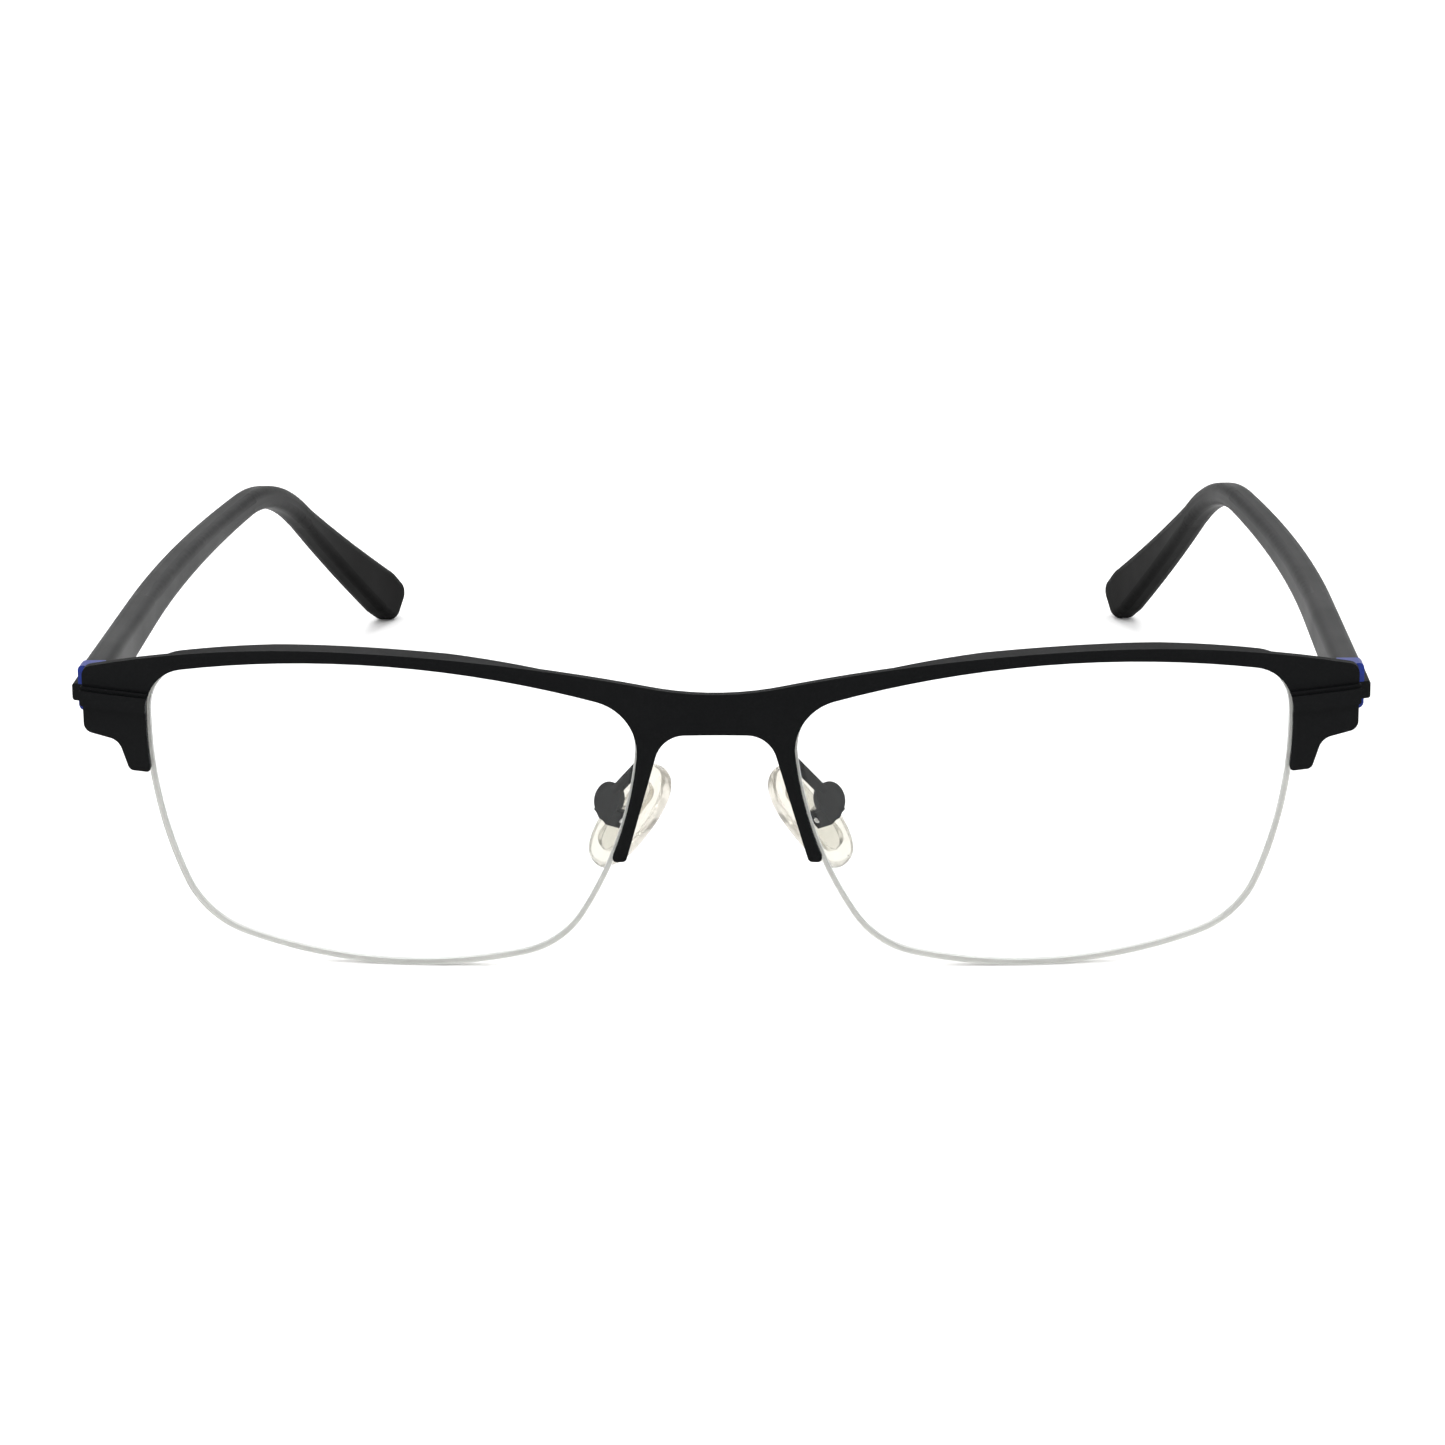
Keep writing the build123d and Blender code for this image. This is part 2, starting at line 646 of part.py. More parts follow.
def main():
    shapes = build()
    place = standing(shapes)
    for name, shape in shapes.items():
        placed = place * shape
        bodies = placed.solids()
        if len(bodies) != 1:
            print("NOTE", name, "has", len(bodies), "solids")
        export_step(placed, "parts/" + name + ".step")
        size = placed.bounding_box()
        print(f"{name:20s} volume {placed.volume:9.2f}  low {size.min}  high {size.max}")
    hinge = place * Pos(hinge_x, hinge_y, hinge_z)
    print("hinge point", hinge.position, "axis", (hinge * Pos(0, 0, 1)).position - hinge.position)
    screw = place * pad_plane().location
    print("pad pivot", screw.position, "axis", (screw * Pos(1, 0, 0)).position - screw.position)


main()
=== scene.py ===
# %% [markdown]
# # Half rim eyeglasses
# The frame is a thin sheet front, two cord held lenses, two folding temples and
# two soft nose pads. The metal and plastic shapes come from the CAD model, which
# is loaded first and never moved. This script gives them their finishes and
# makes the small pieces that need more detail than a CAD solid has: lenses with
# a ground edge, round cords, slotted screws and crowned nose pads.
#
# %% Load the CAD frame
import bmesh
import bpy
import json
import math
from mathutils import Matrix, Vector


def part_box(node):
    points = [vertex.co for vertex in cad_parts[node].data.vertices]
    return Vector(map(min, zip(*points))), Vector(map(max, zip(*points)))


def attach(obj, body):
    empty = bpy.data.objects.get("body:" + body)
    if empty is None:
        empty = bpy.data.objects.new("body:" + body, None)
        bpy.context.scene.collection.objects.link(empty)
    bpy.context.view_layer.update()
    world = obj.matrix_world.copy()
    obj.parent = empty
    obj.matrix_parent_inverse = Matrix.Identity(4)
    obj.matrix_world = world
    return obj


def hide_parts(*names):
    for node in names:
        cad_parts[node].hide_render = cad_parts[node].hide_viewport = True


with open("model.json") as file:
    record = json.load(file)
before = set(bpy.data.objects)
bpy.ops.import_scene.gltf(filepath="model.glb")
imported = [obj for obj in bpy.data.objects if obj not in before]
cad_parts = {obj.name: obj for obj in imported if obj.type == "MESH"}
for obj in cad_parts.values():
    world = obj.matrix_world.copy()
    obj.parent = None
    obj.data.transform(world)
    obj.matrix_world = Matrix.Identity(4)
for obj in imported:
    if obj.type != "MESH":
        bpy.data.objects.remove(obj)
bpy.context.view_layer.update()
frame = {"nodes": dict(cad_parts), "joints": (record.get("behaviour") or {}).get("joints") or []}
nodes = frame["nodes"]
MM = 0.001
SIDES = ("right", "left")

# %% [markdown]
# ## Colours and node helper
# A colour is written as its sRGB hex value, as a paint chart would give it, and
# one function turns it into the linear numbers that a shader works with. One
# more function adds a node with its settings and its links, so that each
# material below reads as a short list.
#
# %% Colour and node helpers


def colour(hex_value, alpha=1.0):
    """sRGB hex to linear colour."""
    parts = [int(hex_value[i:i + 2], 16) / 255 for i in (0, 2, 4)]
    linear = [c / 12.92 if c <= 0.04045 else ((c + 0.055) / 1.055) ** 2.4 for c in parts]
    return (*linear, alpha)


def add_node(tree, kind, settings=None, inputs=None):
    """Adds a node; an input is a value or another node's output socket."""
    node = tree.nodes.new(kind)
    for name, value in (settings or {}).items():
        setattr(node, name, value)
    for name, value in (inputs or {}).items():
        socket = node.inputs[name]
        if isinstance(value, bpy.types.NodeSocket):
            tree.links.new(value, socket)
        else:
            socket.default_value = value
    return node


def new_material(name):
    """An empty material, its tree, its output node and the Object coordinates."""
    made = bpy.data.materials.new(name)
    made.use_nodes = True
    tree = made.node_tree
    tree.nodes.clear()
    output = tree.nodes.new("ShaderNodeOutputMaterial")
    place = add_node(tree, "ShaderNodeTexCoord").outputs["Object"]
    return made, tree, output, place


def per_mm(size):
    """Texture scale that gives one feature about every size millimetres."""
    return 1.0 / (size * MM)


# %% [markdown]
# ## Mesh helpers
# The lenses and pads below are nets of quads: closed rings of points, each
# joined to the next. They could be sculpted or subdivided from a cube, but rings
# keep every size a number, and one net is closed by nature. A point at each end
# fills the last ring with a fan.
#
# %% Ring nets


def new_object(name, data):
    """An object in the scene for a mesh, a light or a camera."""
    made = bpy.data.objects.new(name, data)
    bpy.context.scene.collection.objects.link(made)
    return made


def ring_net(name, rings, first_point, last_point):
    """A closed mesh from rings of equal length, with a point at each end."""
    count = len(rings[0])
    points = [first_point] + [point for ring in rings for point in ring] + [last_point]
    last = len(points) - 1
    faces = [(0, 1 + (i + 1) % count, 1 + i) for i in range(count)]
    for row in range(len(rings) - 1):
        base = 1 + row * count
        for i in range(count):
            j = (i + 1) % count
            faces.append((base + i, base + j, base + count + j, base + count + i))
    base = last - count
    faces += [(base + i, base + (i + 1) % count, last) for i in range(count)]
    mesh = bpy.data.meshes.new(name)
    mesh.from_pydata(points, [], faces)
    net = bmesh.new()
    net.from_mesh(mesh)
    bmesh.ops.recalc_face_normals(net, faces=net.faces)
    net.to_mesh(mesh)
    net.free()
    mesh.shade_smooth()
    return mesh


# %% [markdown]
# ## Coated steel
# The front sheet, rims and bars are stainless steel with a baked matte coating.
# Such a coat is a few hundredths of a millimetre thick. It hides the metal, so
# the shader is not metallic, and it leaves a very fine orange peel that breaks
# up reflections. An image of the peel would need a UV map for each piece, so it
# is drawn by noise in Object coordinates instead. It is about 0.25 mm across,
# coarser than the real one, so that it shows. A slower noise changes the gloss
# where hands have rubbed the coat.
#
# %% Coated steel materials
RELIEF = 0.02 * MM         # height of the grain and ripples that the bumps draw
RUBBED_SIZE = 9.0          # mm across one rubbed patch


def coated_steel(name, base, light, rough, peel=0.25, bump=0.25, shine=0.3):
    """A coat whose colour goes from base to light over a grain of peel millimetres."""
    made, tree, output, place = new_material(name)
    grain = add_node(tree, "ShaderNodeTexNoise", None,
                     {"Vector": place, "Scale": per_mm(peel), "Detail": 3.0, "Roughness": 0.6})
    patch = add_node(tree, "ShaderNodeTexNoise", None,
                     {"Vector": place, "Scale": per_mm(RUBBED_SIZE), "Detail": 2.0, "Roughness": 0.5})
    speck = add_node(tree, "ShaderNodeMapRange", None,
                     {"Value": grain.outputs["Fac"], "From Min": 0.35, "From Max": 0.75})
    tone = add_node(tree, "ShaderNodeMix", {"data_type": "RGBA"}, {
        "Factor": speck.outputs["Result"], 6: colour(base), 7: colour(light)})
    dull = add_node(tree, "ShaderNodeMapRange", None, {
        "Value": patch.outputs["Fac"], "From Min": 0.3, "From Max": 0.7,
        "To Min": rough - 0.04, "To Max": rough + 0.05})
    relief = add_node(tree, "ShaderNodeBump", None,
                      {"Height": grain.outputs["Fac"], "Strength": bump, "Distance": RELIEF})
    shader = add_node(tree, "ShaderNodeBsdfPrincipled", None, {
        "Base Color": tone.outputs[2], "Roughness": dull.outputs["Result"],
        "Normal": relief.outputs["Normal"], "Specular IOR Level": shine, "IOR": 1.5})
    tree.links.new(shader.outputs["BSDF"], output.inputs["Surface"])
    return made


front_coat = coated_steel("matte_black_baked_coat", "040506", "0A0B0C", 0.6, shine=0.08)
hinge_coat = coated_steel("satin_black_hinge_coat", "101112", "18191B", 0.42)
arm_coat = coated_steel("dark_grey_pad_arm_coat", "0A0B0C", "121314", 0.6, peel=0.3, shine=0.06)
blue_coat = coated_steel("satin_blue_metal_lacquer", "081E66", "0E2A80", 0.36, peel=0.4,
                         bump=0.15, shine=0.2)
coats = (front_coat, hinge_coat, arm_coat, blue_coat)
print("coated steel finishes", [coat.name for coat in coats])

# %% [markdown]
# ## Temple plastic
# The temples are injection moulded nylon with a fine satin texture from the
# mould. The straight stretch stays matte and a little grey, and painted shade
# makes the tips, which rest on the ears, darker and less reflective. Two materials
# would meet at a line, so one material fades into this painted shade along the
# temple by its Y coordinate. Small cells draw the moulded grain and a slow noise
# the handling.
#
# %% Temple plastic material
TIP_SHADE_FROM, TIP_SHADE_TO = 4.0 * MM, 58.0 * MM       # along Y: where the painted shade begins and is full
MOULD_GRAIN, HANDLING_SIZE = 0.3, 14.0          # mm across one cell and one handled patch
MATTE_SHINE, TIP_SHADE_SHINE = 0.13, 0.02           # strength of the reflection on the straight stretch and in the painted shade


def temple_plastic():
    """Satin nylon that turns from matte grey to black along the temple, as painted shade at the tips."""
    made, tree, output, place = new_material("satin_moulded_black_nylon")
    grain = add_node(tree, "ShaderNodeTexVoronoi", None, {"Vector": place, "Scale": per_mm(MOULD_GRAIN)})
    handling = add_node(tree, "ShaderNodeTexNoise", None,
                        {"Vector": place, "Scale": per_mm(HANDLING_SIZE), "Detail": 3.0})
    tone = add_node(tree, "ShaderNodeMix", {"data_type": "RGBA"}, {
        "Factor": handling.outputs["Fac"], 6: colour("0A0B0C"), 7: colour("101112")})
    along = add_node(tree, "ShaderNodeSeparateXYZ", None, {"Vector": place})
    # painted shade: along Y the tips are darkened to near black and their reflection is lowered
    tip_shade = add_node(tree, "ShaderNodeMapRange", {"interpolation_type": "SMOOTHSTEP"}, {
        "Value": along.outputs["Y"], "From Min": TIP_SHADE_FROM, "From Max": TIP_SHADE_TO})
    coat = add_node(tree, "ShaderNodeMix", {"data_type": "RGBA"}, {
        "Factor": tip_shade.outputs["Result"], 6: tone.outputs[2], 7: colour("010101")})
    shine = add_node(tree, "ShaderNodeMapRange", None, {
        "Value": tip_shade.outputs["Result"], "To Min": MATTE_SHINE, "To Max": TIP_SHADE_SHINE})
    gloss = add_node(tree, "ShaderNodeMapRange", None, {
        "Value": handling.outputs["Fac"], "From Min": 0.3, "From Max": 0.7,
        "To Min": 0.44, "To Max": 0.54})
    relief = add_node(tree, "ShaderNodeBump", None,
                      {"Height": grain.outputs["Distance"], "Strength": 0.12, "Distance": RELIEF})
    shader = add_node(tree, "ShaderNodeBsdfPrincipled", None, {
        "Base Color": coat.outputs[2], "Roughness": gloss.outputs["Result"],
        "Normal": relief.outputs["Normal"], "IOR": 1.53,
        "Specular IOR Level": shine.outputs["Result"]})
    tree.links.new(shader.outputs["BSDF"], output.inputs["Surface"])
    return made


temple_nylon = temple_plastic()
print("temple plastic", temple_nylon.name)

# %% [markdown]
# ## Clear pieces
# The lenses are cast in a clear hard resin and polished, and a thin coating
# halves the reflections of their faces. Their edge is ground and left satin, so
# it scatters light and draws a pale line round the lens. The cords and the rim
# liners are drawn nylon, and the nose pads are soft silicone, slightly warm and
# cloudy. Alpha blending would show no bent light at their edges, so all of them
# are transmission shaders. Each has its own IOR, roughness and tint, and the
# cloud is the share of light that scatters inside and doesn't pass through.
#
# %% Clear materials


def clear_material(name, tint, ior, rough, ripple, ripple_size, cloud=0.0, glare="FFFFFF"):
    """A clear finish; ripple_size is in millimetres, and glare tints what it reflects."""
    made, tree, output, place = new_material(name)
    wave = add_node(tree, "ShaderNodeTexNoise", None,
                    {"Vector": place, "Scale": per_mm(ripple_size), "Detail": 2.0})
    relief = add_node(tree, "ShaderNodeBump", None,
                      {"Height": wave.outputs["Fac"], "Strength": ripple, "Distance": RELIEF})
    mist = add_node(tree, "ShaderNodeMapRange", None, {
        "Value": wave.outputs["Fac"], "From Min": 0.3, "From Max": 0.7,
        "To Min": rough * 0.8, "To Max": rough * 1.2 + 0.002})
    shader = add_node(tree, "ShaderNodeBsdfPrincipled", None, {
        "Base Color": colour(tint), "Roughness": mist.outputs["Result"],
        "Normal": relief.outputs["Normal"], "IOR": ior, "Specular Tint": colour(glare),
        "Transmission Weight": 1.0 - cloud})
    tree.links.new(shader.outputs["BSDF"], output.inputs["Surface"])
    return made


lens_plastic = clear_material("polished_lens_plastic", "FAFCFC", 1.5, 0.0, 0.0, 5.0,
                              glare="B0B0B0")
ground_edge = clear_material("ground_lens_edge", "F4F3EF", 1.5, 0.5, 0.3, 0.2, cloud=0.8)
clear_nylon = clear_material("clear_drawn_nylon", "F4F3EE", 1.53, 0.15, 0.1, 0.6, cloud=0.7)
pad_silicone = clear_material("soft_clear_silicone", "F4F0E6", 1.41, 0.08, 0.9, 0.9, cloud=0.2)
insert_plastic = clear_material("moulded_clear_insert", "FAF8F2", 1.45, 0.1, 0.5, 0.8, cloud=0.12)
clear_finishes = (lens_plastic, ground_edge, clear_nylon, pad_silicone, insert_plastic)
print("clear finishes", [finish.name for finish in clear_finishes])

# %% [markdown]
# ## Turned steel
# The hinge and pad screws are turned from stainless steel, and a lathe leaves
# fine marks on it. Real grooves would take thousands of faces, so waves in the
# roughness draw them. They are level bands about 0.75 mm apart, wider than the
# real marks, and the metal is left bare.
#
# %% Turned steel material
TOOL_MARK = 0.12 * math.tau        # mm from one band to the next, about 0.75
WAVE_RADIANS = 20                  # a wave texture of scale 1 turns by this much in a metre


def turned_steel():
    """Bare steel whose roughness changes in bands, as a tool leaves it."""
    made, tree, output, place = new_material("turned_stainless_steel")
    scale = per_mm(TOOL_MARK) * math.tau / WAVE_RADIANS
    bands = add_node(tree, "ShaderNodeTexWave", {"bands_direction": "Z"},
                     {"Vector": place, "Scale": scale, "Distortion": 1.0})
    rough = add_node(tree, "ShaderNodeMapRange", None, {
        "Value": bands.outputs["Fac"], "To Min": 0.22, "To Max": 0.34})
    shader = add_node(tree, "ShaderNodeBsdfPrincipled", None, {
        "Base Color": colour("C9CACB"), "Metallic": 1.0, "Roughness": rough.outputs["Result"]})
    tree.links.new(shader.outputs["BSDF"], output.inputs["Surface"])
    return made


screw_steel = turned_steel()
print("screw metal", screw_steel.name)

# %% [markdown]
# ## Give every CAD node its finish
# Each node keeps its CAD shape and takes a finish by its name. The two sides of
# a piece share one finish, so the side is cut off the name before it is looked
# up. A piece with no finish would stop the script here.
#
# %% Assign finishes
FINISHES = {
    "front_plate": front_coat, "rim_channel": front_coat, "endpiece_bar": front_coat,
    "temple_bar": front_coat, "hinge_front": hinge_coat, "pad_arm": arm_coat,
    "temple_end": blue_coat, "temple_arm": temple_nylon, "lens": lens_plastic,
    "rim_liner": clear_nylon, "nylon_cord": clear_nylon, "nose_pad": pad_silicone,
    "pad_insert": insert_plastic, "hinge_screw": screw_steel, "pad_screw": screw_steel,
}


def family(node_name):
    """The node's name without its side."""
    for side in SIDES:
        node_name = node_name.removesuffix("_" + side)
    return node_name


for node_name, node in nodes.items():
    node.data.materials.clear()
    node.data.materials.append(FINISHES[family(node_name)])
print("finished nodes", len(nodes))

# %% [markdown]
# ## The front's own axes
# The lenses sit on a sphere, and the front leans a little when the glasses
# stand. Its own axes are upright and start at the middle of the bridge. The
# fold hinge is a place known in both, so it gives the move between the two. The
# numbers here are those of the CAD design, because no solid states them.
#
# %% Axes of the front
LEAN = math.radians(2.6)
HINGE_ON_FRONT = Vector((65.5, 8.70, 12.0)) * MM
SPHERE_CENTRE = Vector((25.293, 123.29, 0.0)) * MM
SPHERE_RADIUS = 125.0 * MM
JOINTS = {joint["name"]: joint for joint in frame["joints"]}
lean_turn = Matrix.Rotation(LEAN, 3, "X")
front_origin = Vector(JOINTS["temple_right_fold"]["pos_m"]) - lean_turn @ HINGE_ON_FRONT


def standing(point, side="right"):
    """A point in the front's axes, moved to the standing glasses, left or right."""
    placed = lean_turn @ Vector(point) + front_origin
    if side == "left":
        placed.x = -placed.x
    return placed


def on_front(point):
    """A point of the standing glasses, moved back to the front's axes."""
    return lean_turn.inverted() @ (Vector(point) - front_origin)


print("front origin", tuple(round(c / MM, 3) for c in front_origin))

# %% [markdown]
# ## Lens outline
# The lens could be drawn again from its arcs, but then two models would have to
# agree. The CAD lens is cut straight through by its outline, so the hull of its
# points as seen from the front is that outline. It is walked at even steps,
# which gives every ring of the lens the same number of points.
#
# %% Read the outline
OUTLINE_POINTS = 200


def hull(points):
    """The convex outline of points (x, z), anticlockwise."""
    points = sorted(set(points))

    def half(items):
        chain = []
        for p in items:
            while len(chain) > 1 and (
                (chain[-1][0] - chain[-2][0]) * (p[1] - chain[-2][1])
                - (chain[-1][1] - chain[-2][1]) * (p[0] - chain[-2][0])
            ) <= 0:
                chain.pop()
            chain.append(p)
        return chain[:-1]

    return half(points) + half(points[::-1])


def even_steps(loop, count):
    """A closed loop of Vectors walked at even steps."""
    sides = [(b - a).length for a, b in zip(loop, loop[1:] + loop[:1])]
    step = sum(sides) / count
    walked, gone, index = [], 0.0, 0
    for i in range(count):
        while gone + sides[index] < i * step:
            gone += sides[index]
            index += 1
        a, b = loop[index], loop[(index + 1) % len(loop)]
        walked.append(a.lerp(b, (i * step - gone) / sides[index]))
    return walked


DECIMALS = 6               # of a metre, so points less than a micron apart merge
lens_points = [on_front(v.co) for v in nodes["lens_right"].data.vertices]
seen = [(round(p.x, DECIMALS), round(p.z, DECIMALS)) for p in lens_points]
lens_loop = [Vector(p) for p in hull(seen)]
outline = even_steps(lens_loop, OUTLINE_POINTS)
print("outline", len(lens_loop), "corners,", OUTLINE_POINTS, "steps, width",
      round((max(p.x for p in outline) - min(p.x for p in outline)) / MM, 2), "mm")

# %% [markdown]
# ## Lens sphere
# A lens is a slice of a sphere, and so is everything that follows its edge. One
# helper moves the outline in or out, and another lays it on the sphere at a
# depth behind the front of the sheet. The cord uses the same two.
#
# %% Lay the outline on the sphere
LENS_FRONT, LENS_THICKNESS = 0.95 * MM, 1.8 * MM
LENS_BACK = LENS_FRONT + LENS_THICKNESS


def inset(loop, amount):
    """The loop moved in by an amount, along its own normals."""
    moved = []
    for before, here, after in zip(loop[-1:] + loop, loop, loop[1:] + loop[:1]):
        along = (after - before).normalized()
        moved.append(here + Vector((-along.y, along.x)) * amount)
    return moved


def on_sphere(loop, depth):
    """The loop laid on the lens front, then taken straight in to a depth."""
    laid = []
    reach = SPHERE_RADIUS - LENS_FRONT
    for p in loop:
        across, up = p.x - SPHERE_CENTRE.x, p.y
        arm = Vector((across, -math.sqrt(reach ** 2 - across ** 2 - up ** 2), up))
        laid.append(SPHERE_CENTRE + arm * ((SPHERE_RADIUS - depth) / reach))
    return laid


print("lens from", round(LENS_FRONT / MM, 2), "to", round(LENS_BACK / MM, 2), "mm behind the sheet face")

# %% [markdown]
# ## Lenses
# The edge of a lens is ground at right angles to its faces, so it narrows
# towards the eye, with a groove along the middle for the cord. A boolean of two
# spheres would leave long thin faces, so the lens is one net: rings that shrink
# to the centre make the polished faces, and a row of narrow rings makes the
# ground edge, which has its own finish.
#
# %% Make the lenses
SHARP_EDGE = math.radians(35)
GROOVE_HALF, GROOVE_DEPTH, CHAMFER = 0.3 * MM, 0.5 * MM, 0.1 * MM
GROOVE_MIDDLE = (LENS_FRONT + LENS_BACK) / 2
FACE_RINGS = 9
EDGE_PROFILE = [
    (LENS_FRONT, CHAMFER), (LENS_FRONT + CHAMFER, 0.0),
    (GROOVE_MIDDLE - GROOVE_HALF, 0.0), (GROOVE_MIDDLE - GROOVE_HALF, GROOVE_DEPTH),
    (GROOVE_MIDDLE + GROOVE_HALF, GROOVE_DEPTH), (GROOVE_MIDDLE + GROOVE_HALF, 0.0),
    (LENS_BACK - CHAMFER, 0.0), (LENS_BACK, CHAMFER),
]


def lens_mesh(name, side):
    """A closed lens: front face, grooved edge with its own finish, back face."""
    middle = sum(outline, Vector((0.0, 0.0))) / len(outline)
    edge = inset(outline, CHAMFER)
    shrunk = [[middle.lerp(p, row / FACE_RINGS) for p in edge] for row in range(1, FACE_RINGS)]
    rings = [on_sphere(ring, LENS_FRONT) for ring in shrunk]
    rings += [on_sphere(inset(outline, amount), depth) for depth, amount in EDGE_PROFILE]
    rings += [on_sphere(ring, LENS_BACK) for ring in shrunk[::-1]]
    ends = [on_sphere([middle], depth)[0] for depth in (LENS_FRONT, LENS_BACK)]
    rings = [[standing(p, side) for p in ring] for ring in rings]
    mesh = ring_net(name, rings, *[standing(p, side) for p in ends])
    mesh.materials.append(lens_plastic)
    mesh.materials.append(ground_edge)
    first = OUTLINE_POINTS * FACE_RINGS
    for face in list(mesh.polygons)[first:first + OUTLINE_POINTS * (len(EDGE_PROFILE) - 1)]:
        face.material_index = 1
    mesh.set_sharp_from_angle(angle=SHARP_EDGE)
    return mesh


for side in SIDES:
    name = "polished_lens_" + side
    lens = new_object(name, lens_mesh(name, side))
    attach(lens, "front")
    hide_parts("lens_" + side)
    print(name, "faces", len(lens.data.polygons))

# %% [markdown]
# ## Nylon cord
# The cord is a round line that lies in the groove below the rims and runs a
# little way up into each. The CAD solid is square in section, so a round one
# replaces it. A bevelled curve would do too, but Geometry Nodes carry a small
# circle along any path, and the radius and the number of sides stay inputs that
# another pair of glasses can set.
#
# %% Cord tree


def node_group(name, inputs):
    """An empty Geometry Nodes tree with its inputs and its output."""
    tree = bpy.data.node_groups.new(name, "GeometryNodeTree")
    tree.interface.new_socket("Geometry", in_out="INPUT", socket_type="NodeSocketGeometry")
    tree.interface.new_socket("Geometry", in_out="OUTPUT", socket_type="NodeSocketGeometry")
    for label, kind in inputs:
        tree.interface.new_socket(label, in_out="INPUT", socket_type="NodeSocket" + kind)
    return tree, tree.nodes.new("NodeGroupInput"), tree.nodes.new("NodeGroupOutput")


def grown_by_tree(name, mesh, tree, values):
    """Runs a tree on a mesh with named values, and keeps the plain mesh it makes."""
    piece = new_object(name, mesh)
    modifier = piece.modifiers.new(tree.name, "NODES")
    modifier.node_group = tree
    for item in tree.interface.items_tree:
        if item.in_out == "INPUT" and item.name in values:
            modifier[item.identifier] = values[item.name]
    bpy.context.view_layer.update()
    evaluated = piece.evaluated_get(bpy.context.evaluated_depsgraph_get())
    piece.data = bpy.data.meshes.new_from_object(evaluated)
    piece.modifiers.clear()
    return piece


def cord_tree():
    """A tree that turns a line of edges into a closed round cord."""
    tree, given, made = node_group("round_cord", [
        ("Radius", "Float"), ("Sides", "Int"), ("Finish", "Material")])
    line = add_node(tree, "GeometryNodeMeshToCurve", None, {"Mesh": given.outputs["Geometry"]})
    circle = add_node(tree, "GeometryNodeCurvePrimitiveCircle", None, {
        "Radius": given.outputs["Radius"], "Resolution": given.outputs["Sides"]})
    tube = add_node(tree, "GeometryNodeCurveToMesh", None, {
        "Curve": line.outputs["Curve"], "Profile Curve": circle.outputs["Curve"],
        "Fill Caps": True})
    smooth = add_node(tree, "GeometryNodeSetShadeSmooth", None, {"Geometry": tube.outputs["Mesh"]})
    whole = add_node(tree, "GeometryNodeRealizeInstances", None,
                     {"Geometry": smooth.outputs["Geometry"]})
    finish = add_node(tree, "GeometryNodeSetMaterial", None, {
        "Geometry": whole.outputs["Geometry"], "Material": given.outputs["Finish"]})
    tree.links.new(finish.outputs["Geometry"], made.inputs[0])
    return tree


# %% [markdown]
# ## Route of the cord
# The cord starts and ends inside the rims, where a straight line joins its two
# anchor ends. The part of the lens outline below that line, moved into the
# groove, is its route. Both cords run the same tree with the same values.
#
# %% Make the cords
CORD_RADIUS, CORD_INSET, CORD_SIDES = 0.27 * MM, 0.22 * MM, 16
CORD_INNER_END = Vector((3.9, -3.2)) * MM
CORD_OUTER_END = Vector((68.3, 6.55)) * MM


def below_ends(p):
    """Whether an outline point is under the line from one anchor end to the other."""
    share = (p.x - CORD_INNER_END.x) / (CORD_OUTER_END.x - CORD_INNER_END.x)
    return p.y < CORD_INNER_END.y + share * (CORD_OUTER_END.y - CORD_INNER_END.y)


def cord_path():
    """The outline points below the two anchor ends, in order from one to the other."""
    low = [below_ends(p) for p in outline]
    start = next(i for i in range(len(low)) if low[i] and not low[i - 1])
    turned = outline[start:] + outline[:start]
    path = inset(outline, CORD_INSET)
    path = path[start:] + path[:start]
    return on_sphere([q for p, q in zip(turned, path) if below_ends(p)], GROOVE_MIDDLE)


cord_nodes = cord_tree()
for side in SIDES:
    path = [standing(p, side) for p in cord_path()]
    line = bpy.data.meshes.new("cord_line_" + side)
    line.from_pydata(path, [(i, i + 1) for i in range(len(path) - 1)], [])
    cord = grown_by_tree("round_nylon_cord_" + side, line, cord_nodes,
                         {"Radius": CORD_RADIUS, "Sides": CORD_SIDES, "Finish": clear_nylon})
    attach(cord, "front")
    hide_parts("nylon_cord_" + side)
    length = sum((b - a).length for a, b in zip(path, path[1:]))
    print("cord", side, "length", round(length / MM, 1), "mm, faces", len(cord.data.polygons))

# %% [markdown]
# ## Screws
# Each hinge turns on a slotted screw and each pad rocks on a smaller one. A
# screw is a flat head with a slot, a core, and thread crests at an even pitch. A
# true helix would need many more faces for a thread that hides in its barrel, so
# each crest is a ring. The rings repeat, so Geometry Nodes set one at each step
# along the core, and a boolean cuts the slot.
#
# %% Screw tree
HEAD_SIDES, CORE_SIDES = 40, 24


